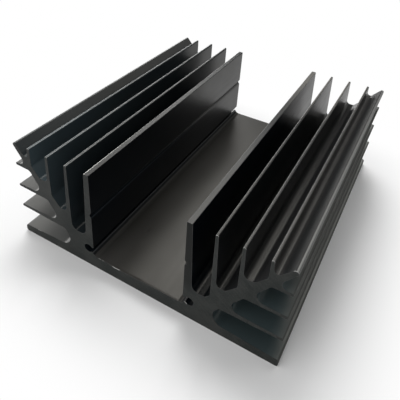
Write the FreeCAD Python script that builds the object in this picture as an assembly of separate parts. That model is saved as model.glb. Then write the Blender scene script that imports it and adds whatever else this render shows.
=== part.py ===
"""Black anodised aluminium heat sink: one length cut from an extruded, finned section.

The section is symmetric about the middle of a wide open channel. On each side of the channel a web
leans outward from the foot of a thick inner fin to the top outer corner. Thin upright fins stand on
the web, thin level fins reach from its underside to the side, and a flat base closes the section below.

Frame: millimetres, X across the section, Y along the extrusion, Z up, origin under the middle of the base.
"""
import FreeCAD, Part
import math
import os

# Overall size of the cut length
WIDTH = 125.0
HEIGHT = 50.0
LENGTH = 142.0

# Base plate and the channel above it
BASE_THICKNESS = 6.6
CHANNEL_WIDTH = 44.0
WING_ROOT_THICKNESS = 5.3
WING_EDGE_THICKNESS = 3.6
WING_TOP_ROUND = 1.2
WING_BOTTOM_ROUND = 0.8

# Inner fins, which are the channel's walls, with a notch along their channel faces
INNER_FIN_TOP = 2.4
INNER_FIN_ROUND = 0.3
NOTCH_HEIGHT = 29.4
NOTCH_DEPTH = 0.9
NOTCH_RISE = 1.7
NOTCH_DROP = 1.2
NOTCH_ROUND = 0.2

# Upright fins: vertical towards the channel, drafted on the other side
FIN_TIP = 1.2
FIN_TIP_ROUND = 0.45
FIN_DRAFT_DEGREES = 2.2
FIRST_FIN_PITCH = 11.2
FIN_PITCH = 10.05

# Valleys between the upright fins: a level floor, then a ramp along the top of the web
FIRST_VALLEY_RAMP = 2.0
FIRST_VALLEY_ROUND = 3.0
VALLEY_RAMP = 4.4
VALLEY_ROUND = 2.1
RAMP_ROUND = 1.6

# Leaning web, from the foot of the inner fin to the outer corner
WEB_FOOT = 9.7
WEB_TIP_WIDTH = 1.4
WEB_TIP_HEIGHT = 1.3
WEB_TIP_ROUND = 0.8

# Level fins on the underside of the web, and the round inner ends of the pockets between them
SIDE_FIN_TIP = 1.2
SIDE_FIN_TIP_ROUND = 0.45
SIDE_FIN_DRAFT_DEGREES = 1.5
FIRST_SIDE_FIN_HEIGHT = 15.65
SIDE_FIN_PITCH = 11.7
LOW_POCKET_ROUND = 4.9
POCKET_ROUND = 3.05
TOP_POCKET_ROUND = 2.2
POCKET_ROOF_ROUND = 1.8

# Undercut groove in each bottom corner of the channel, behind a lip that the floor curves up to.
# The rise is the groove's centre above the floor, and the lip's top lies its drop below that centre.
GROOVE_RADIUS = 2.1
GROOVE_INSET = 2.8
GROOVE_RISE = 3.2
LIP_DROP = 1.4
LIP_WIDTH = 0.5
LIP_SLOPE_RUN = 1.0
LIP_FOOT_ROUND = 3.3
LIP_ROUND = 0.3
MOUTH_OPENING = 2.5
MOUTH_ROUND = 0.5

HALF_WIDTH = WIDTH / 2
HALF_CHANNEL = CHANNEL_WIDTH / 2
GROOVE_CENTRE = (HALF_CHANNEL + GROOVE_INSET, BASE_THICKNESS + GROOVE_RISE)
LIP_TOP = GROOVE_CENTRE[1] - LIP_DROP
MOUTH_TOP = LIP_TOP + MOUTH_OPENING


class Line:
    """A straight line of the section, through two (x, z) points."""

    def __init__(self, start, end):
        self.start = start
        self.slope = (end[1] - start[1]) / (end[0] - start[0])

    def height_at(self, x):
        return self.start[1] + (x - self.start[0]) * self.slope

    def meets(self, other):
        """The (x, z) point where this line crosses another one."""
        x = (other.height_at(0) - self.height_at(0)) / (self.slope - other.slope)
        return x, self.height_at(x)


WEB_TOP = Line((HALF_CHANNEL, BASE_THICKNESS), (HALF_WIDTH - WEB_TIP_WIDTH, HEIGHT))
WEB_UNDERSIDE = Line((HALF_CHANNEL + WEB_FOOT, BASE_THICKNESS), (HALF_WIDTH, HEIGHT - WEB_TIP_HEIGHT))
WING_TOP = Line((HALF_CHANNEL + WEB_FOOT, WING_ROOT_THICKNESS), (HALF_WIDTH, WING_EDGE_THICKNESS))


def point(x, z):
    return FreeCAD.Vector(x, 0, z)


def rounded_path(corners):
    """Edges through corners given as (x, z, radius), each corner a tangent arc of its radius.

    Where two rounds need more than the straight side between them, both shrink to share it.
    """
    places = [point(x, z) for x, z, _ in corners]
    sides = [b - a for a, b in zip(places, places[1:])]
    tangents = [0.0]
    for (_, _, radius), before, after in zip(corners[1:], sides, sides[1:]):
        tangents.append(radius * math.tan(before.getAngle(after) / 2))
    tangents.append(0.0)
    shares = [min(1.0, side.Length / max(a + b, side.Length))
              for side, a, b in zip(sides, tangents, tangents[1:])]

    edges = []
    last = places[0]
    for index in range(1, len(places) - 1):
        before, after = sides[index - 1], sides[index]
        reach = tangents[index] * min(shares[index - 1], shares[index])
        entry = places[index] - before * (reach / before.Length)
        leaving = places[index] + after * (reach / after.Length)
        if not last.isEqual(entry, 1e-6):
            edges.append(Part.makeLine(last, entry))
        if reach > 0:
            edges.append(corner_arc(entry, places[index], leaving))
        last = leaving
    edges.append(Part.makeLine(last, places[-1]))
    return edges


def corner_arc(entry, corner, leaving):
    """The arc that leaves one side at entry and joins the next side at leaving."""
    middle = (entry + leaving) * 0.5
    depth = corner - middle
    half_chord = entry.distanceToPoint(middle)
    bulge = half_chord * math.tan(math.atan2(depth.Length, half_chord) / 2)
    through = middle + depth * (bulge / depth.Length)
    return Part.Arc(entry, through, leaving).toShape()


def channel_floor():
    """Half of the channel's floor, curving up to the lip and over it to the edge of the groove."""
    groove_x, _ = groove_edge(LIP_TOP)
    lip_x = groove_x - LIP_WIDTH
    return [
        (0, BASE_THICKNESS, 0),
        (lip_x - LIP_SLOPE_RUN, BASE_THICKNESS, LIP_FOOT_ROUND),
        (lip_x, LIP_TOP, LIP_ROUND),
        (groove_x, LIP_TOP, 0),
    ]


def groove_edge(z):
    """The point at height z on the channel side of the groove."""
    centre_x, centre_z = GROOVE_CENTRE
    return centre_x - math.sqrt(GROOVE_RADIUS ** 2 - (z - centre_z) ** 2), z


def groove():
    """The round of the groove, from the lip to the foot of the inner fin."""
    centre_x, centre_z = GROOVE_CENTRE
    farthest = point(centre_x + GROOVE_RADIUS, centre_z)
    return Part.Arc(point(*groove_edge(LIP_TOP)), farthest, point(*groove_edge(MOUTH_TOP))).toShape()


def inner_fin():
    """The inner fin, up its notched channel face and over its flat top."""
    return [
        (*groove_edge(MOUTH_TOP), 0),
        (HALF_CHANNEL, MOUTH_TOP, MOUTH_ROUND),
        (HALF_CHANNEL, NOTCH_HEIGHT - NOTCH_DROP, 0),
        (HALF_CHANNEL + NOTCH_DEPTH, NOTCH_HEIGHT, NOTCH_ROUND),
        (HALF_CHANNEL, NOTCH_HEIGHT + NOTCH_RISE, 0),
        (HALF_CHANNEL, HEIGHT, INNER_FIN_ROUND),
        (HALF_CHANNEL + INNER_FIN_TOP, HEIGHT, INNER_FIN_ROUND),
    ]


def drafted_side(tip_x, floor_z):
    """Where a fin's drafted side, which starts at tip_x on the top, comes down to floor_z."""
    return tip_x + (HEIGHT - floor_z) * math.tan(math.radians(FIN_DRAFT_DEGREES))


def valley(tip_x, next_x, ramp, floor_round):
    """A valley's level floor, from the drafted side of the fin at tip_x to the ramp before next_x."""
    ramp_start = next_x - ramp
    floor_z = WEB_TOP.height_at(ramp_start)
    return [
        (drafted_side(tip_x, floor_z), floor_z, floor_round),
        (ramp_start, floor_z, RAMP_ROUND),
    ]


def upright_fins():
    """The valleys and thin fins, from the inner fin's drafted side out to the tip of the web."""
    corners = []
    tip_x = HALF_CHANNEL + INNER_FIN_TOP
    fin_x = HALF_CHANNEL + FIRST_FIN_PITCH
    ramp, floor_round = FIRST_VALLEY_RAMP, FIRST_VALLEY_ROUND
    while fin_x + FIN_TIP + VALLEY_RAMP < HALF_WIDTH - WEB_TIP_WIDTH:
        corners += valley(tip_x, fin_x, ramp, floor_round)
        corners += [
            (fin_x, WEB_TOP.height_at(fin_x), RAMP_ROUND),
            (fin_x, HEIGHT, FIN_TIP_ROUND),
            (fin_x + FIN_TIP, HEIGHT, FIN_TIP_ROUND),
        ]
        ramp, floor_round = VALLEY_RAMP, VALLEY_ROUND
        tip_x = fin_x + FIN_TIP
        fin_x += FIN_PITCH
    return corners + valley(tip_x, HALF_WIDTH - WEB_TIP_WIDTH, ramp, floor_round)


def web_tip():
    """The outer end of the web, cut level at the top and upright at the side."""
    return [
        (HALF_WIDTH - WEB_TIP_WIDTH, HEIGHT, FIN_TIP_ROUND),
        (HALF_WIDTH, HEIGHT, WEB_TIP_ROUND),
        (HALF_WIDTH, HEIGHT - WEB_TIP_HEIGHT, FIN_TIP_ROUND),
    ]


def side_fin_heights():
    """Heights of the level fins, from the lowest up to the last that clears the web's tip."""
    heights = []
    z = FIRST_SIDE_FIN_HEIGHT
    while z + SIDE_FIN_PITCH / 2 < HEIGHT:
        heights.append(z)
        z += SIDE_FIN_PITCH
    return heights


def side_fins():
    """The level fins and the pockets round them, from the highest fin down to the wing's top."""
    draft = math.tan(math.radians(SIDE_FIN_DRAFT_DEGREES))
    heights = side_fin_heights()
    corners = []
    for index, z in enumerate(reversed(heights)):
        top = Line((HALF_WIDTH, z + SIDE_FIN_TIP / 2), (HALF_WIDTH - 1, z + SIDE_FIN_TIP / 2 + draft))
        bottom = Line((HALF_WIDTH, z - SIDE_FIN_TIP / 2), (HALF_WIDTH - 1, z - SIDE_FIN_TIP / 2 - draft))
        corners += [
            (*WEB_UNDERSIDE.meets(top), TOP_POCKET_ROUND if index == 0 else POCKET_ROUND),
            (*top.start, SIDE_FIN_TIP_ROUND),
            (*bottom.start, SIDE_FIN_TIP_ROUND),
            (*WEB_UNDERSIDE.meets(bottom), POCKET_ROOF_ROUND),
        ]
    corners.append((*WEB_UNDERSIDE.meets(WING_TOP), LOW_POCKET_ROUND))
    return corners


def wing():
    """The outer edge of the base and its underside, back to the middle."""
    return [
        (HALF_WIDTH, WING_EDGE_THICKNESS, WING_TOP_ROUND),
        (HALF_WIDTH, 0, WING_BOTTOM_ROUND),
        (0, 0, 0),
    ]


def half_section():
    """The face of the section on the +X side of the middle."""
    outer = inner_fin() + upright_fins() + web_tip() + side_fins() + wing()
    edges = rounded_path(channel_floor()) + [groove()] + rounded_path(outer)
    edges.append(Part.makeLine(point(0, 0), point(0, BASE_THICKNESS)))
    return Part.Face(Part.Wire(edges))


def heat_sink():
    """The whole section, extruded over its length, as one solid."""
    half = half_section()
    half.translate(FreeCAD.Vector(0, -LENGTH / 2, 0))
    right = half.extrude(FreeCAD.Vector(0, LENGTH, 0))
    left = right.mirror(FreeCAD.Vector(0, 0, 0), FreeCAD.Vector(1, 0, 0))
    return right.fuse(left).removeSplitter().Solids[0]


def main():
    os.makedirs("parts", exist_ok=True)
    body = heat_sink()
    body.exportStep("parts/heat_sink_extrusion.step")
    print("heat_sink_extrusion", body.isValid(), round(body.Volume, 1), len(body.Faces), body.BoundBox)


main()
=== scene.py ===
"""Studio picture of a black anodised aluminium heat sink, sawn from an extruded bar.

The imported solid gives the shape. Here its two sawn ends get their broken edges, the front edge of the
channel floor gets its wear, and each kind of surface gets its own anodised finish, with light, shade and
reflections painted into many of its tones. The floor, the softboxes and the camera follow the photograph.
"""
from __future__ import annotations

import logging
import math
from dataclasses import dataclass, field, replace
from enum import Enum, IntEnum
from typing import Any, Mapping, Union

import bmesh
import bpy
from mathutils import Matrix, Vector, noise

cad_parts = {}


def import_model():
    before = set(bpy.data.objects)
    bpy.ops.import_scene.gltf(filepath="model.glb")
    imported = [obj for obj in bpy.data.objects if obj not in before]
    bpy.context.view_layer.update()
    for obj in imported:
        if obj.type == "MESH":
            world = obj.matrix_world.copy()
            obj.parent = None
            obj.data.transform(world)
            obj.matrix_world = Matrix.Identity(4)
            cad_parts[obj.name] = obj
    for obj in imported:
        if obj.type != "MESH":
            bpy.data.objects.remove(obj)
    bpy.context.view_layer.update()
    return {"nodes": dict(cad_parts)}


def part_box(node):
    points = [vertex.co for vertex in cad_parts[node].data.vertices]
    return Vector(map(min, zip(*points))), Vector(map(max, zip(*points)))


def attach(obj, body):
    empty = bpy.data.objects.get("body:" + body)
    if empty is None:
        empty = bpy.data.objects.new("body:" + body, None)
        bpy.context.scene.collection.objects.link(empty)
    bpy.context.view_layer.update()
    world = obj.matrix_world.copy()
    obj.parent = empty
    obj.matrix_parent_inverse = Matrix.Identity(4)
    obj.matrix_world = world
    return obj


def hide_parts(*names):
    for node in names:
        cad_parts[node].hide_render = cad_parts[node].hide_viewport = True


LOG = logging.getLogger("heat_sink")

Pair = tuple[float, float]
Triple = tuple[float, float, float]
Colour = Triple
MM = 0.001
WHITE = (1.0, 1.0, 1.0)
# Places that are less than this apart, in metres, are the same place.
SAME_PLACE = 1e-7
# A face looks along an axis where its normal has more than this share along it.
SQUARE_ON = 0.99


class Wire:
    """A node's output that Python's operators can work on."""

    def __init__(self, sheet: "NodeSheet", socket: bpy.types.NodeSocket) -> None:
        """Keep the socket, and the sheet that its node is on."""
        self.sheet = sheet
        self.socket = socket

    def __add__(self, other: "Value") -> "Wire":
        """Self plus other."""
        return self.sheet.maths("ADD", self, other)

    def __sub__(self, other: "Value") -> "Wire":
        """Self minus other."""
        return self.sheet.maths("SUBTRACT", self, other)

    def __rsub__(self, other: "Value") -> "Wire":
        """Other minus self."""
        return self.sheet.maths("SUBTRACT", other, self)

    def __mul__(self, other: "Value") -> "Wire":
        """Self times other."""
        return self.sheet.maths("MULTIPLY", self, other)

    __radd__ = __add__
    __rmul__ = __mul__


Value = Union[Wire, float]


class NodeSheet:
    """The node tree of one material or of the world, and the one way in which its nodes are made."""

    def __init__(self, tree: bpy.types.NodeTree) -> None:
        """Empty the tree.

        Args:
            tree: The node tree to fill.
        """
        self.tree = tree
        tree.nodes.clear()

    def node(self, kind: str, settings: Mapping[str, Any] | None = None,
             inputs: Mapping[str | int, Any] | None = None) -> bpy.types.Node:
        """Add a node.

        Args:
            kind: The node's type, without the ShaderNode in front.
            settings: The node's own settings, by name.
            inputs: The value or Wire of each socket, by name or number.

        Returns:
            The new node.
        """
        made = self.tree.nodes.new("ShaderNode" + kind)
        for name, value in (settings or {}).items():
            setattr(made, name, value)
        for name, value in (inputs or {}).items():
            if isinstance(value, Wire):
                self.tree.links.new(value.socket, made.inputs[name])
            else:
                made.inputs[name].default_value = value
        return made

    def wire(self, kind: str, output: str | int = 0, settings: Mapping[str, Any] | None = None,
             inputs: Mapping[str | int, Any] | None = None) -> Wire:
        """Add a node and return one of its outputs as a Wire."""
        return Wire(self, self.node(kind, settings, inputs).outputs[output])

    def maths(self, operation: str, first: Value, second: Value = 0.0) -> Wire:
        """Add a Math node and return its result."""
        return self.wire("Math", 0, {"operation": operation}, {0: first, 1: second})

    def largest(self, first: Value, *others: Value) -> Value:
        """The largest of some values."""
        for other in others:
            first = self.maths("MAXIMUM", first, other)
        return first

    def ramp(self, value: Wire, low: float, high: float, start: float = 0.0, end: float = 1.0) -> Wire:
        """Turn a value smoothly from start at low to end at high.

        Args:
            value: The value to turn.
            low: Where the turn begins.
            high: Where it ends.
            start: The result at and before low.
            end: The result at and after high.

        Returns:
            The turned value.
        """
        settings = {"interpolation_type": "SMOOTHSTEP", "clamp": True}
        inputs = {"Value": value, "From Min": low, "From Max": high, "To Min": start, "To Max": end}
        return self.wire("MapRange", "Result", settings, inputs)

    def mix(self, mask: Value, first: Any, second: Any, label: str = "") -> Wire:
        """Mix two colours by a mask, 0 for the first and 1 for the second."""
        settings = {"data_type": "RGBA", "label": label}
        return self.wire("Mix", 2, settings, {0: mask, 6: first, 7: second})

    def rays(self) -> tuple[Wire, Wire]:
        """Two masks: one for the camera's own rays, and one for those that metal or glass has turned."""
        made = self.node("LightPath")
        direct = Wire(self, made.outputs["Is Camera Ray"])
        glossy = Wire(self, made.outputs["Is Glossy Ray"])
        through = Wire(self, made.outputs["Is Transmission Ray"])
        return direct, self.largest(glossy, through)

    def point(self) -> Wire:
        """Each point's place on the object, in metres."""
        return self.wire("TexCoord", "Object")

    def parts(self, vector: Wire) -> tuple[Wire, Wire, Wire]:
        """The three components of a vector."""
        made = self.node("SeparateXYZ", None, {0: vector})
        return Wire(self, made.outputs[0]), Wire(self, made.outputs[1]), Wire(self, made.outputs[2])

    def grain(self, vector: Wire, cells: Triple, detail: float, roughness: float = 0.6) -> Wire:
        """Noise with its own number of cells to the metre along each axis.

        Args:
            vector: The place to read the noise at.
            cells: Cells to the metre along X, Y and Z.
            detail: Octaves of finer noise.
            roughness: How strong the finer octaves are.

        Returns:
            Values round 0.5.
        """
        scaled = self.wire("VectorMath", 0, {"operation": "MULTIPLY"}, {0: vector, 1: cells})
        return self.wire("TexNoise", 0, None,
                         {"Vector": scaled, "Scale": 1.0, "Detail": detail, "Roughness": roughness})

    def surface(self, shader: bpy.types.Node) -> None:
        """Put a shader on the material."""
        self.node("OutputMaterial", None, {"Surface": Wire(self, shader.outputs[0])})


def new_material(name: str) -> tuple[bpy.types.Material, NodeSheet]:
    """A new material and its empty sheet of nodes."""
    material = bpy.data.materials.new(name)
    material.use_nodes = True
    return material, NodeSheet(material.node_tree)


def opaque(colour: Colour) -> tuple[float, float, float, float]:
    """A colour with its alpha."""
    return (*colour, 1.0)


class Measure(Enum):
    """What a fade can read of a point's place on the heat sink."""

    X = "toward the right side"
    Y = "toward the back"
    Z = "up from the underside"
    ACROSS = "out from the middle of the channel, on either side"
    BEYOND_WEB = "out from the leaning web's underside, on either side"
    OFF_FIN = "toward the right from the middle of the thin fin that is nearest"


Place = Mapping[Measure, Wire]


@dataclass(frozen=True)
class Fade:
    """A soft step in one measure of a point's place.

    Attributes:
        measure: What is read.
        low: Where the step begins, in mm.
        high: Where it ends, in mm.
        start: The result up to low.
        end: The result from high on.
    """

    measure: Measure
    low: float
    high: float
    start: float
    end: float

    def read(self, sheet: NodeSheet, place: Place) -> Wire:
        """The step's result at a place."""
        return sheet.ramp(place[self.measure], self.low * MM, self.high * MM, self.start, self.end)


Zone = tuple[Fade, ...]


def past(measure: Measure, low: float, high: float) -> Fade:
    """A step from 0 up to 1, by where it begins and ends in mm."""
    return Fade(measure, low, high, 0.0, 1.0)


def before(measure: Measure, low: float, high: float) -> Fade:
    """A step from 1 down to 0, by where it begins and ends in mm."""
    return Fade(measure, low, high, 1.0, 0.0)


def share_of(zone: Zone, share: float) -> Zone:
    """A zone with only a share of its strength."""
    first, *others = zone
    return (replace(first, start=first.start * share, end=first.end * share), *others)


def cover(sheet: NodeSheet, place: Place, zone: Zone) -> Wire:
    """How fully a point lies in a zone.

    Args:
        sheet: The sheet that the nodes go on.
        place: The point's measures.
        zone: The fades that meet in the zone.

    Returns:
        The product of the fades.
    """
    first, *others = zone
    covered = first.read(sheet, place)
    for fade in others:
        covered = covered * fade.read(sheet, place)
    return covered


@dataclass(frozen=True)
class Tone:
    """One tone of a finish, laid over those before it.

    Attributes:
        label: What it is on the part. It labels the tone's node too.
        colour: Its colour.
        zone: Where it lies.
    """

    label: str
    colour: Colour
    zone: Zone


def lay(sheet: NodeSheet, place: Place, under: Any, tones: tuple[Tone, ...]) -> Wire:
    """Lay tones over a colour, in their order.

    Args:
        sheet: The sheet that the nodes go on.
        place: The point's measures.
        under: The colour below, or its Wire.
        tones: The tones, the lowest first.

    Returns:
        The colour that shows.
    """
    for tone in tones:
        under = sheet.mix(cover(sheet, place, tone.zone), under, opaque(tone.colour), tone.label)
    return under


# Fades and zones of the section that the tones and masks below are put together from.
LEFT = before(Measure.X, -1.0, 1.0)
RIGHT = past(Measure.X, -1.0, 1.0)
THIN_FINS = (past(Measure.ACROSS, 28.0, 29.0), before(Measure.ACROSS, 58.0, 59.0))
TIP_ROUNDS = (past(Measure.Z, 49.55, 49.65), before(Measure.Z, 49.93, 49.98))
FLOOR_LEVEL = before(Measure.Z, 6.7, 7.0)
UP_TO_LIP_TOP = before(Measure.Z, 8.6, 9.0)
UP_TO_LIP_BACK = before(Measure.ACROSS, 22.4, 23.0)
RIGHT_WEB_SLOPE = (past(Measure.X, 57.0, 58.5), before(Measure.X, 61.3, 61.5))
RIGHT_FACE = past(Measure.X, 61.9, 62.2)


class Surface(IntEnum):
    """The kinds of surface on the heat sink, numbered as its material slots are."""

    EXTRUDED = 0
    SAWN = 1
    BROKEN_EDGE = 2


@dataclass(frozen=True)
class ExtrudedFinish:
    """Satin black anodising over the fine lines that the die leaves along the bar.

    The tones lie over the whole bar, the pocket tones only outside the leaning webs, and the side tones
    over both. Many of them are painted light and shade: the pockets' teal and its tones, the side tones,
    the lift on the left and right fins, and the light and dark bands beside the channel, on the lips, the
    notches, the tops and the last valley. Bare metal shows at the rubbed tips, at a corner and on the
    rounds that were filed. What a rougher zone's fades come to is added to the roughness.

    The last four fields are the section's own. The thin fins stand fin_pitch apart, the first one with
    its middle at first_fin from the channel's. The leaning web's underside starts at web_foot, out from
    the channel's middle and up from the underside, and goes web_run out for each metre up.
    """

    name: str = "black_anodised_extruded"
    dark: Colour = (0.0018, 0.0033, 0.0046)
    pale: Colour = (0.0084, 0.0090, 0.0090)
    # A pale tone used as painted light on the channel floor's front left corner and on the lips' feet.
    painted_light_pale: Colour = (0.034, 0.033, 0.031)
    tones: tuple[Tone, ...] = (
        # Painted shade: the channel's walls and the inner fins beside it are darkened, fading out toward the
        # first thin fin.
        Tone("painted shade beside the channel", (0.0008, 0.0022, 0.0044),
             (Fade(Measure.ACROSS, 24.0, 34.0, 0.8, 0.0),)),
        # A paler, warmer tone over the whole channel floor.
        Tone("paler warm tone on the channel floor", (0.0190, 0.0182, 0.0165),
             (before(Measure.ACROSS, 20.5, 21.5), FLOOR_LEVEL)),
        # Painted light: the front left corner of the channel floor is lifted.
        Tone("painted light in its front left corner", painted_light_pale,
             (before(Measure.X, -16.0, -7.0), past(Measure.X, -22.0, -21.5),
              before(Measure.Y, -68.0, -40.0), FLOOR_LEVEL)),
        # Painted light: the lower slope of each lip is lifted to the floor's level, leaving a dark line above
        # it.
        Tone("painted light on each lip's foot", painted_light_pale,
             (past(Measure.Z, 6.7, 6.9), before(Measure.Z, 7.45, 7.6), before(Measure.ACROSS, 21.6, 21.8))),
        # Painted highlight: a thin light line along each lip's crest, where it catches the light.
        Tone("painted highlight on each lip's crest", (0.065, 0.068, 0.072),
             (past(Measure.Z, 7.85, 8.0), UP_TO_LIP_TOP, UP_TO_LIP_BACK)),
        # Painted highlight: a light line on the lower edge of each inner fin's notch, fading out toward the
        # back.
        Tone("painted highlight on the lower edge of each inner fin's notch", (0.026, 0.031, 0.036),
             (past(Measure.Z, 28.0, 28.2), before(Measure.Z, 28.4, 28.6),
              past(Measure.ACROSS, 21.0, 21.5), before(Measure.ACROSS, 23.2, 23.4),
              before(Measure.Y, -20.0, 30.0))),
        # Painted light: the left fins are lifted to a pale blue grey, more at the front, standing in for
        # light on that side.
        Tone("painted light on the left fins", (0.052, 0.072, 0.082),
             (before(Measure.X, -60.0, -20.0), Fade(Measure.Y, -71.0, 10.0, 1.0, 0.3),
              Fade(Measure.X, -57.0, -55.0, 0.25, 1.0))),
        # Painted light: the right fins' black is lifted a little, standing in for light in their valleys.
        Tone("painted light on the right fins", (0.0205, 0.0210, 0.0215), (past(Measure.X, 30.0, 56.0),)),
        # Painted highlight: a pale sheen toward the back ends of the right fins' tops.
        Tone("painted highlight on the backs of the right tops", (0.120, 0.117, 0.108),
             (past(Measure.X, 20.0, 21.0), before(Measure.X, 57.0, 58.0),
              past(Measure.Z, 49.4, 49.6), past(Measure.Y, 0.0, 65.0))),
        # Painted reflection: a lighter streak in the valley between the last thin fin and the right web.
        Tone("painted reflection in the valley next to the right web", (0.036, 0.036, 0.035),
             (past(Measure.X, 53.2, 54.5), before(Measure.X, 56.5, 58.0))),
        # Painted shade: the outer slope of the right web is darkened.
        Tone("painted shade on the right web's slope", dark, share_of(RIGHT_WEB_SLOPE, 0.8)),
    )
    # Painted light: the pockets' insides are lifted to a pale teal, standing in for the light that reaches
    # into them.
    pocket: Colour = (0.040, 0.055, 0.058)
    pocket_light_tones: tuple[Tone, ...] = (
        # Painted light, more toward the open outer ends of the right pockets.
        Tone("painted light toward the right pockets' outer ends", (0.085, 0.095, 0.092), (past(Measure.X, 59.0, 62.0),)),
        # Painted light in the pockets on the left side, where light enters low.
        Tone("painted light in the pockets on the left", (0.074, 0.076, 0.074), (LEFT,)),
        # Painted light in the right pockets' mouths, weak at the front and full behind it.
        Tone("painted light at the right pockets' mouths", (0.190, 0.195, 0.185),
             (past(Measure.X, 57.5, 61.0), Fade(Measure.Y, -69.0, -54.0, 0.06, 1.0))),
    )
    pocket_zone: Zone = (past(Measure.BEYOND_WEB, -0.5, 1.5),)
    side_light_tones: tuple[Tone, ...] = (
        # Painted reflection: the right side's outer face is lifted to a mid grey.
        Tone("painted reflection across the outer face on the right", (0.056, 0.059, 0.056), (RIGHT_FACE,)),
        # Painted shade: darker along the bottom of that face, by the floor.
        Tone("painted shade along its lower edge", (0.004, 0.005, 0.005),
             (past(Measure.X, 61.0, 61.6), before(Measure.Z, 1.5, 1.8))),
    )

    metal: Colour = (0.86, 0.86, 0.84)
    right_tips: Zone = (*TIP_ROUNDS, *THIN_FINS, RIGHT, before(Measure.OFF_FIN, -0.05, 0.20))
    right_tip_bareness: float = 0.34
    left_tips: Zone = (*TIP_ROUNDS, *THIN_FINS, LEFT, before(Measure.OFF_FIN, -0.30, -0.02))
    left_tip_bareness: Fade = Fade(Measure.Y, -75.0, 0.0, 0.42, 0.07)
    left_tip_gloss: float = 0.45
    right_web_tip: Zone = (past(Measure.X, 61.45, 61.65), before(Measure.X, 62.1, 62.3),
                           Fade(Measure.Z, 49.15, 49.35, 0.0, 0.16))
    left_corner: Zone = (Fade(Measure.X, -24.15, -23.95, 0.45, 0.0), past(Measure.X, -26.0, -25.5),
                         past(Measure.Z, 49.55, 49.7), Fade(Measure.Y, -66.0, -25.0, 1.0, 0.1))
    left_rounds: Zone = (past(Measure.BEYOND_WEB, 0.0, 0.3), before(Measure.BEYOND_WEB, 1.8, 2.4),
                         LEFT, before(Measure.Y, -70.0, -65.0))

    warmth: Colour = (1.0, 0.965, 0.875)
    ior: float = 1.36
    roughness: float = 0.33
    roughness_spread: float = 0.20
    rounds_polish: float = 0.7
    rougher_lips: Zone = share_of((past(Measure.Z, 6.603, 6.62), UP_TO_LIP_TOP, UP_TO_LIP_BACK), 0.45)
    rougher_left_shoulders: Zone = share_of(
        (*THIN_FINS, LEFT, past(Measure.Z, 49.3, 49.5), past(Measure.OFF_FIN, -0.20, 0.0)), 0.6)
    rougher_web_slope: Zone = share_of(RIGHT_WEB_SLOPE, 0.3)
    rougher_right_face: Zone = share_of((RIGHT_FACE, before(Measure.Z, 49.0, 49.3)), 0.4)
    gloss_roughness: float = 0.08
    gloss_ior: float = 1.6

    fine_cells: Triple = (3200.0, 9.0, 3200.0)
    fine_share: float = 0.55
    broad_cells: Triple = (420.0, 3.0, 420.0)
    line_detail: float = 2.0
    line_strength: float = 0.50
    line_depth: float = 0.02 * MM
    cloud_cells: Triple = (55.0, 40.0, 55.0)
    cloud_detail: float = 4.0
    cloud_share: float = 0.4
    shade_span: Pair = (0.36, 0.64)

    first_fin: float = 33.2 * MM
    fin_pitch: float = 10.05 * MM
    web_foot: Pair = (31.7 * MM, 6.6 * MM)
    web_run: float = 0.7316

    def material(self) -> bpy.types.Material:
        """Make the finish.

        Returns:
            The material, with lines along Y in its colour, gloss and relief.
        """
        material, sheet = new_material(self.name)
        point = sheet.point()
        place = self._place(sheet, point)
        lines = (self.fine_share * sheet.grain(point, self.fine_cells, self.line_detail)
                 + (1.0 - self.fine_share) * sheet.grain(point, self.broad_cells, self.line_detail))
        clouds = sheet.grain(point, self.cloud_cells, self.cloud_detail)
        right_tips = cover(sheet, place, self.right_tips)
        left_tips = cover(sheet, place, self.left_tips)
        rounds = cover(sheet, place, self.left_rounds)
        bare = sheet.largest(self.right_tip_bareness * right_tips,
                             self.left_tip_bareness.read(sheet, place) * left_tips,
                             cover(sheet, place, self.right_web_tip),
                             cover(sheet, place, self.left_corner), rounds)
        colour = self._colour(sheet, place, lines, clouds)
        sheet.surface(sheet.node("BsdfPrincipled", None, {
            "Base Color": sheet.mix(bare, colour, opaque(self.metal), "bare metal"),
            "Metallic": bare,
            "Roughness": self._roughness(sheet, place, lines + clouds - 1.0, rounds),
            "IOR": self.ior,
            "Normal": sheet.wire("Bump", 0, None, {
                "Strength": self.line_strength, "Distance": self.line_depth, "Height": lines}),
            "Specular Tint": opaque(self.warmth),
            "Coat Weight": sheet.largest(right_tips, self.left_tip_gloss * left_tips, rounds),
            "Coat Roughness": self.gloss_roughness,
            "Coat IOR": self.gloss_ior}))
        return material

    def _place(self, sheet: NodeSheet, point: Wire) -> Place:
        """Take all of a point's measures.

        Args:
            sheet: The sheet that the nodes go on.
            point: The point's place on the object.

        Returns:
            Each measure's Wire, in metres.
        """
        x, y, z = sheet.parts(point)
        across = sheet.maths("ABSOLUTE", x)
        foot_across, foot_up = self.web_foot
        half_pitch = self.fin_pitch / 2
        from_valley = sheet.maths("MODULO", across - (self.first_fin - half_pitch), self.fin_pitch)
        return {Measure.X: x, Measure.Y: y, Measure.Z: z, Measure.ACROSS: across,
                Measure.BEYOND_WEB: across - (foot_across + self.web_run * (z - foot_up)),
                Measure.OFF_FIN: (from_valley - half_pitch) * sheet.maths("SIGN", x)}

    def _colour(self, sheet: NodeSheet, place: Place, lines: Wire, clouds: Wire) -> Wire:
        """Colour the anodising, and paint light and shade into it.

        Args:
            sheet: The sheet that the nodes go on.
            place: The point's measures.
            lines: The die lines' noise.
            clouds: The broad patches' noise.

        Returns:
            The colour of what isn't bare.
        """
        shade = sheet.ramp((1.0 - self.cloud_share) * lines + self.cloud_share * clouds, *self.shade_span)
        bar = lay(sheet, place, sheet.mix(shade, opaque(self.dark), opaque(self.pale)), self.tones)
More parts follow.
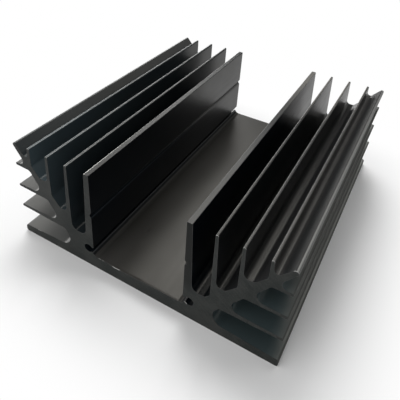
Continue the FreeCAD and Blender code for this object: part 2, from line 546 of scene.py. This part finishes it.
        # The pockets' painted light lies over the bar's colour, and the side tones' painted reflection and
        # shade over both.
        pocket = lay(sheet, place, opaque(self.pocket), self.pocket_light_tones)
        anodised = sheet.mix(cover(sheet, place, self.pocket_zone), bar, pocket, "pockets")
        return lay(sheet, place, anodised, self.side_light_tones)

    def _roughness(self, sheet: NodeSheet, place: Place, unevenness: Wire, rounds: Wire) -> Wire:
        """Work out the roughness.

        Args:
            sheet: The sheet that the nodes go on.
            place: The point's measures.
            unevenness: Noise round 0 that the roughness follows.
            rounds: The mask of the filed rounds, which are smoother.

        Returns:
            The roughness.
        """
        roughness = self.roughness + self.roughness_spread * unevenness
        for zone in (self.rougher_lips, self.rougher_left_shoulders, self.rougher_web_slope,
                     self.rougher_right_face):
            roughness = roughness + cover(sheet, place, zone)
        return roughness * (1.0 - self.rounds_polish * rounds)


@dataclass(frozen=True)
class SawnFinish:
    """Matt black anodising over the shallow arcs that a large saw blade leaves.

    The blade's centre is its X and Z in metres. The arcs' noise is read by distance from that centre, and
    much more slowly round it and along the bar. The shade's shares are those of arcs, clouds and specks,
    and the relief's those of arcs and specks.
    """

    name: str = "black_anodised_sawn"
    dark: Colour = (0.0085, 0.0112, 0.0102)
    pale: Colour = (0.0262, 0.0280, 0.0262)
    tones: tuple[Tone, ...] = (
        # Painted shade: the upper end face of the right inner fin is darkened.
        Tone("painted shade on the right inner fin's end", (0.0020, 0.0028, 0.0020),
             (past(Measure.X, 21.0, 21.5), before(Measure.X, 25.0, 26.5), past(Measure.Z, 13.0, 22.0))),
    )
    roughness: float = 0.50
    roughness_spread: float = 0.16
    ior: float = 1.25
    blade_centre: Pair = (-0.10, -0.155)
    arc_cells: float = 1.0 / 0.0009
    arc_detail: float = 3.0
    arc_roughness: float = 0.7
    round_centre: float = 0.02
    along_bar: float = 0.1
    cloud_cells: Triple = (90.0, 90.0, 90.0)
    cloud_detail: float = 4.0
    speck_cells: Triple = (2200.0, 2200.0, 2200.0)
    speck_detail: float = 2.0
    shade_shares: Triple = (0.35, 0.35, 0.3)
    shade_span: Pair = (0.41, 0.59)
    relief_strength: float = 0.35
    relief_depth: float = 0.04 * MM
    relief_shares: Pair = (0.7, 0.3)

    def material(self) -> bpy.types.Material:
        """Make the finish.

        Returns:
            The material, with arcs round the blade's centre in its colour, gloss and relief.
        """
        material, sheet = new_material(self.name)
        point = sheet.point()
        x, y, z = sheet.parts(point)
        arcs = self._arcs(sheet, x, y, z)
        clouds = sheet.grain(point, self.cloud_cells, self.cloud_detail)
        specks = sheet.grain(point, self.speck_cells, self.speck_detail)
        arc_share, cloud_share, speck_share = self.shade_shares
        shade = sheet.ramp(arc_share * arcs + cloud_share * clouds + speck_share * specks, *self.shade_span)
        arc_height, speck_height = self.relief_shares
        anodised = sheet.mix(shade, opaque(self.dark), opaque(self.pale))
        sheet.surface(sheet.node("BsdfPrincipled", None, {
            "Base Color": lay(sheet, {Measure.X: x, Measure.Z: z}, anodised, self.tones),
            "Roughness": self.roughness + self.roughness_spread * (arcs + clouds - 1.0),
            "IOR": self.ior,
            "Normal": sheet.wire("Bump", 0, None, {
                "Strength": self.relief_strength, "Distance": self.relief_depth,
                "Height": arc_height * arcs + speck_height * specks})}))
        return material

    def _arcs(self, sheet: NodeSheet, x: Wire, y: Wire, z: Wire) -> Wire:
        """The noise of the saw's arcs, as rings round the blade's centre."""
        across, up = x - self.blade_centre[0], z - self.blade_centre[1]
        radius = sheet.maths("SQRT", across * across + up * up)
        turn = sheet.maths("ARCTAN2", up, across)
        rings = sheet.wire("CombineXYZ", 0, None,
                           {0: radius, 1: turn * self.round_centre, 2: y * self.along_bar})
        return sheet.grain(rings, (self.arc_cells,) * 3, self.arc_detail, self.arc_roughness)


@dataclass(frozen=True)
class BareSpot:
    """A place on an edge where the anodising is knocked off.

    Attributes:
        centre: Its middle, in metres.
        reach: How far it goes along X, Y and Z, in metres.
        bareness: How bare it is, from 0 to 1.
    """

    centre: Triple
    reach: Triple
    bareness: float


@dataclass(frozen=True)
class BrokenEdgeFinish:
    """Anodising on the narrow deburred edges of the sawn ends, with a few knocks down to bare metal."""

    name: str = "black_anodised_broken_edge"
    dark: Colour = (0.010, 0.011, 0.011)
    pale: Colour = (0.032, 0.033, 0.032)
    metal: Colour = (0.72, 0.72, 0.70)
    roughness: float = 0.36
    ior: float = 1.40
    spots: tuple[BareSpot, ...] = (
        BareSpot((-0.0103, -0.071, 0.0062), (0.0020, 0.0008, 0.0006), 0.7),
        BareSpot((-0.0190, -0.071, 0.0064), (0.0006, 0.0006, 0.0005), 0.35),
        BareSpot((-0.0172, -0.071, 0.0062), (0.0006, 0.0006, 0.0005), 0.5),
        BareSpot((0.0235, -0.071, 0.0078), (0.0007, 0.0007, 0.0007), 0.9),
        BareSpot((-0.0540, -0.071, 0.0040), (0.0014, 0.0008, 0.0006), 0.25),
    )
    spot_rim: Pair = (0.8, 1.0)
    spot_raggedness: float = 1.2
    bare_tips: Zone = (Fade(Measure.Z, 49.4, 49.6, 0.0, 0.3), past(Measure.ACROSS, 26.0, 27.0),
                       past(Measure.X, -59.0, -58.0))
    wear_cells: Triple = (700.0, 700.0, 700.0)
    wear_detail: float = 4.0
    shade_span: Pair = (0.40, 0.66)

    def material(self) -> bpy.types.Material:
        """Make the finish.

        Returns:
            The material, black but for its bare spots.
        """
        material, sheet = new_material(self.name)
        point = sheet.point()
        wear = sheet.grain(point, self.wear_cells, self.wear_detail)
        x, _, z = sheet.parts(point)
        place = {Measure.X: x, Measure.Z: z, Measure.ACROSS: sheet.maths("ABSOLUTE", x)}
        bare = sheet.largest(cover(sheet, place, self.bare_tips),
                             *(self._knock(sheet, point, wear, spot) for spot in self.spots))
        shade = sheet.ramp(wear, *self.shade_span)
        anodised = sheet.mix(shade, opaque(self.dark), opaque(self.pale))
        sheet.surface(sheet.node("BsdfPrincipled", None, {
            "Base Color": sheet.mix(bare, anodised, opaque(self.metal), "bare metal"),
            "Metallic": bare, "Roughness": self.roughness, "IOR": self.ior}))
        return material

    def _knock(self, sheet: NodeSheet, point: Wire, wear: Wire, spot: BareSpot) -> Wire:
        """Mask one knock in the edge, with a ragged rim.

        Args:
            sheet: The sheet that the nodes go on.
            point: The point's place on the object.
            wear: The noise that the rim follows.
            spot: Where the knock is.

        Returns:
            The knock's bareness at the point.
        """
        offset = sheet.wire("VectorMath", 0, {"operation": "SUBTRACT"}, {0: point, 1: spot.centre})
        scaled = sheet.wire("VectorMath", 0, {"operation": "DIVIDE"}, {0: offset, 1: spot.reach})
        distance = sheet.wire("VectorMath", "Value", {"operation": "LENGTH"}, {0: scaled})
        ragged = distance + self.spot_raggedness * (wear - 0.5)
        return sheet.ramp(ragged, *self.spot_rim, spot.bareness, 0.0)


@dataclass
class HeatSink:
    """The one sawn length of extrusion, with its broken edges and its worn front edge.

    The wear runs along the front edge from wear_start to wear_end in X. It reaches wear_run back and
    about wear_depth down, and eases in over wear_ease at both ends. Its depth is wear_mean of that, give
    or take wear_swing of it, by noise with wear_waves cells to the metre along the line at wear_line.
    """

    node: str = "heat_sink_extrusion"
    slot: str = "black_anodised_aluminium"
    weld: float = 0.001 * MM
    flat_angle: float = 0.001
    edge_break: float = 0.13 * MM
    edge_segments: int = 2
    edge_profile: float = 0.5
    sharp_angle: float = math.radians(35.0)
    flat_face_weight: int = 100
    wear_start: float = -16.5 * MM
    wear_end: float = 2.5 * MM
    wear_run: float = 1.1 * MM
    wear_depth: float = 0.55 * MM
    wear_ease: float = 2.5 * MM
    wear_cuts: int = 90
    strip_middle: float = 1.0 * MM
    wear_mean: float = 0.8
    wear_swing: float = 0.35
    wear_waves: float = 900.0
    wear_line: float = 3.7
    extruded: ExtrudedFinish = field(default_factory=ExtrudedFinish)
    sawn: SawnFinish = field(default_factory=SawnFinish)
    broken_edge: BrokenEdgeFinish = field(default_factory=BrokenEdgeFinish)

    def build(self, source: bpy.types.Object) -> bpy.types.Object:
        """Make the piece and dress it.

        Args:
            source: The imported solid's object, which stays as it is.

        Returns:
            The finished piece, which stands for the solid.
        """
        shape = bmesh.new()
        shape.from_mesh(source.data)
        bmesh.ops.remove_doubles(shape, verts=shape.verts, dist=self.weld)
        bmesh.ops.dissolve_limit(shape, angle_limit=self.flat_angle, verts=shape.verts, edges=shape.edges)
        low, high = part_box(self.node)
        self._wear_front_edge(shape, low.y)
        self._break_sawn_edges(shape, low.y, high.y)
        self._shade(shape)
        mesh = bpy.data.meshes.new("heat_sink")
        shape.to_mesh(mesh)
        shape.free()
        piece = bpy.data.objects.new("heat_sink", mesh)
        bpy.context.scene.collection.objects.link(piece)
        for finish in (self.extruded, self.sawn, self.broken_edge):
            mesh.materials.append(finish.material())
        weighted = piece.modifiers.new("flat_faces_first", "WEIGHTED_NORMAL")
        weighted.keep_sharp = True
        weighted.weight = self.flat_face_weight
        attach(piece, "root")
        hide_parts(self.node)
        return piece

    def _wear_front_edge(self, shape: bmesh.types.BMesh, front: float) -> None:
        """Roll the front edge of the channel floor down a little, unevenly, where it is worn.

        Args:
            shape: The heat sink's mesh.
            front: Y of the front sawn end.
        """
        floor = max((face for face in shape.faces if face.normal.z > SQUARE_ON),
                    key=lambda face: face.calc_area())
        near = [floor, *floor.edges, *floor.verts]
        bmesh.ops.bisect_plane(shape, geom=near, dist=SAME_PLACE, plane_co=(0, front + self.wear_run, 0),
                               plane_no=(0, 1, 0))
        strip = self._front_strip(shape, front)
        long_edges = [edge for edge in strip.edges
                      if abs(edge.verts[0].co.y - edge.verts[1].co.y) < SAME_PLACE]
        bmesh.ops.subdivide_edges(shape, edges=long_edges, cuts=self.wear_cuts, use_grid_fill=True)
        level = max(vert.co.z for vert in strip.verts)
        for vert in shape.verts:
            inside = min(vert.co.x - self.wear_start, self.wear_end - vert.co.x)
            on_edge = abs(vert.co.y - front) < SAME_PLACE and abs(vert.co.z - level) < SAME_PLACE
            if on_edge and inside > 0:
                share = min(1.0, inside / self.wear_ease)
                wave = noise.noise(Vector((vert.co.x * self.wear_waves, self.wear_line, 0.0)))
                vert.co.z -= self.wear_depth * share * (self.wear_mean + self.wear_swing * wave)

    def _front_strip(self, shape: bmesh.types.BMesh, front: float) -> bmesh.types.BMFace:
        """Find the channel floor's strip beside the front sawn end.

        Args:
            shape: The heat sink's mesh, cut behind the wear.
            front: Y of the front sawn end.

        Returns:
            The strip's face.
        """
        strips = []
        for face in shape.faces:
            middle = face.calc_center_median()
            in_front = abs(middle.y - front - self.wear_run / 2) < self.wear_run / 4
            if face.normal.z > SQUARE_ON and in_front and abs(middle.x) < self.strip_middle:
                strips.append(face)
        return min(strips, key=lambda face: face.calc_area())

    def _break_sawn_edges(self, shape: bmesh.types.BMesh, front: float, back: float) -> None:
        """Deburr the edges round both sawn ends, and sort all faces by their surface.

        Args:
            shape: The heat sink's mesh.
            front: Y of the front sawn end.
            back: Y of the back sawn end.
        """
        for face in shape.faces:
            face.material_index = Surface.EXTRUDED
        ends = [face for face in shape.faces if abs(face.normal.y) > SQUARE_ON]
        for face in ends:
            face.material_index = Surface.SAWN
        rims = [edge for edge in shape.edges
                if all(min(abs(vert.co.y - front), abs(vert.co.y - back)) < SAME_PLACE for vert in edge.verts)
                and any(face in ends for face in edge.link_faces)]
        made = bmesh.ops.bevel(shape, geom=rims, offset=self.edge_break, offset_type="OFFSET", affect="EDGES",
                               segments=self.edge_segments, profile=self.edge_profile,
                               clamp_overlap=False, material=-1)
        for face in made["faces"]:
            face.material_index = Surface.BROKEN_EDGE

    def _shade(self, shape: bmesh.types.BMesh) -> None:
        """Shade smoothly over the rounds and sharply over the corners."""
        for face in shape.faces:
            face.smooth = True
        for edge in shape.edges:
            edge.smooth = edge.calc_face_angle(0.0) < self.sharp_angle


def toward(azimuth: float, elevation: float) -> Vector:
    """The unit vector toward a point of the sky, in degrees, with azimuth 0 at the back, 90 at the right."""
    turn, rise = math.radians(azimuth), math.radians(elevation)
    return Vector((math.cos(rise) * math.sin(turn), math.cos(rise) * math.cos(turn), math.sin(rise)))


@dataclass(frozen=True)
class Softbox:
    """A large soft light, by where it stands in the sky round the heat sink.

    Attributes:
        name: The lamp's name.
        azimuth: Its direction over the floor, in degrees.
        elevation: Its height in the sky, in degrees.
        size: Its width and height, in metres.
        brightness: The radiance of its face.
        distance: How far it is from the heat sink, in metres.
    """

    name: str
    azimuth: float
    elevation: float
    size: Pair
    brightness: float
    distance: float = 1.2

    def build(self) -> bpy.types.Object:
        """Hang the softbox, facing the heat sink."""
        lamp = bpy.data.lights.new(self.name, "AREA")
        lamp.shape = "RECTANGLE"
        lamp.size, lamp.size_y = self.size
        lamp.energy = self.brightness * math.pi * self.size[0] * self.size[1]
        holder = bpy.data.objects.new(self.name, lamp)
        place = toward(self.azimuth, self.elevation)
        holder.location = place * self.distance
        holder.rotation_euler = (-place).to_track_quat("-Z", "Y").to_euler()
        bpy.context.scene.collection.objects.link(holder)
        return holder


@dataclass
class Studio:
    """The pale floor, the room's dim light and the softboxes.

    The floor turns from its own colour to clear white between clear_start and clear_end away from the heat
    sink. The room glows from the azimuth and elevation in room_glow_from, and fades over room_glow_span of
    the cosine of the angle from there. Rays that metal has turned see the white backdrop near the horizon,
    and it ends over backdrop_span of their rise.
    """

    floor_colour: Colour = (0.86, 0.86, 0.86)
    floor_reach: float = 30.0
    clear_start: float = 0.005
    clear_end: float = 0.050
    room_base: float = 0.02
    room_glow: float = 1.5
    room_glow_from: Pair = (-143.0, 0.0)
    room_glow_span: Pair = (-0.5, 1.0)
    backdrop_span: Pair = (0.02, 0.12)
    softboxes: tuple[Softbox, ...] = (
        Softbox("high_back_left", -29.0, 53.0, (0.43, 0.90), 5.2),
        Softbox("high_back", -4.0, 54.0, (0.32, 0.30), 6.4),
        Softbox("back_right", 34.0, 38.0, (0.60, 0.87), 1.5),
        Softbox("low_back_left", -47.0, 11.5, (0.90, 0.46), 6.0),
        Softbox("left", -59.0, 38.0, (0.36, 0.54), 2.5),
    )

    def build(self, footprint: tuple[Vector, Vector]) -> None:
        """Make the floor, the room's light and the softboxes.

        Args:
            footprint: The low and high corners of the box that stands on the floor.
        """
        self._floor(footprint)
        self._room()
        for softbox in self.softboxes:
            softbox.build()

    def _floor(self, footprint: tuple[Vector, Vector]) -> None:
        """Lay the floor, which keeps the shadow near the heat sink and is clear white farther away.

        Args:
            footprint: The low and high corners of the box that stands on the floor.
        """
        shape = bmesh.new()
        bmesh.ops.create_grid(shape, x_segments=1, y_segments=1, size=self.floor_reach)
        mesh = bpy.data.meshes.new("studio_floor")
        shape.to_mesh(mesh)
        shape.free()
        floor = bpy.data.objects.new("studio_floor", mesh)
        bpy.context.scene.collection.objects.link(floor)
        material, sheet = new_material("studio_floor")
        low, high = footprint
        x, y, _ = sheet.parts(sheet.point())
        beyond_x = sheet.largest(low.x - x, x - high.x, 0.0)
        beyond_y = sheet.largest(low.y - y, y - high.y, 0.0)
        distance = sheet.maths("SQRT", beyond_x * beyond_x + beyond_y * beyond_y)
        direct, turned = sheet.rays()
        clear = sheet.ramp(distance, self.clear_start, self.clear_end) * sheet.largest(direct, turned)
        paint = sheet.wire("BsdfDiffuse", 0, None, {"Color": opaque(self.floor_colour)})
        white = sheet.wire("Emission", 0, None, {"Color": opaque(WHITE), "Strength": 1.0})
        sheet.surface(sheet.node("MixShader", None, {0: clear, 1: paint, 2: white}))
        mesh.materials.append(material)

    def _room(self) -> None:
        """Light the room dimly, and more from one side, behind a white backdrop."""
        world = bpy.data.worlds.new("studio")
        bpy.context.scene.world = world
        world.use_nodes = True
        sheet = NodeSheet(world.node_tree)
        direction = sheet.wire("TexCoord", "Generated")
        aligned = sheet.wire("VectorMath", "Value", {"operation": "DOT_PRODUCT"},
                             {0: direction, 1: toward(*self.room_glow_from)})
        _, _, rise = sheet.parts(direction)
        direct, turned = sheet.rays()
        low = sheet.ramp(rise, *self.backdrop_span, 1.0, 0.0)
        backdrop = sheet.largest(direct, turned * low)
        room = self.room_base + self.room_glow * sheet.ramp(aligned, *self.room_glow_span)
        strength = room + backdrop * sheet.largest(1.0 - room, 0.0)
        back = sheet.wire("Background", 0, None, {"Color": opaque(WHITE), "Strength": strength})
        sheet.node("OutputWorld", None, {"Surface": back})


@dataclass(frozen=True)
class Viewpoint:
    """The camera, fitted to both sawn ends in the photograph.

    Its place and the start of its view are in metres, its lens and sensor in millimetres. The shift is a
    share of the frame, because the photograph is a crop from below the middle of a larger one.
    """

    place: Triple = (0.07762, -0.17497, 0.16627)
    turn_degrees: Triple = (60.033, -3.221, 29.385)
    lens: float = 41.954
    sensor: float = 36.0
    shift: Pair = (0.00375, -0.25)
    clip_start: float = 0.01

    def build(self) -> bpy.types.Object:
        """Set up the camera and make it the scene's own."""
        camera = bpy.data.cameras.new("viewpoint")
        camera.sensor_width = self.sensor
        camera.lens = self.lens
        camera.shift_x, camera.shift_y = self.shift
        camera.clip_start = self.clip_start
        holder = bpy.data.objects.new("viewpoint", camera)
        holder.location = self.place
        holder.rotation_euler = [math.radians(angle) for angle in self.turn_degrees]
        bpy.context.scene.collection.objects.link(holder)
        bpy.context.scene.camera = holder
        return holder


def main() -> None:
    """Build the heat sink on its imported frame, then the studio round it."""
    logging.basicConfig(level=logging.INFO, format="%(message)s")
    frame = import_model()
    bpy.context.scene.view_settings.view_transform = "Standard"

    heat_sink = HeatSink()
    piece = heat_sink.build(frame["nodes"][heat_sink.node])
    LOG.info("%s: %d faces", piece.name, len(piece.data.polygons))

    Studio().build(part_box(heat_sink.node))
    LOG.info("studio: floor, room and softboxes")
    Viewpoint().build()
    LOG.info("viewpoint: set")


if __name__ == "__main__":
    main()
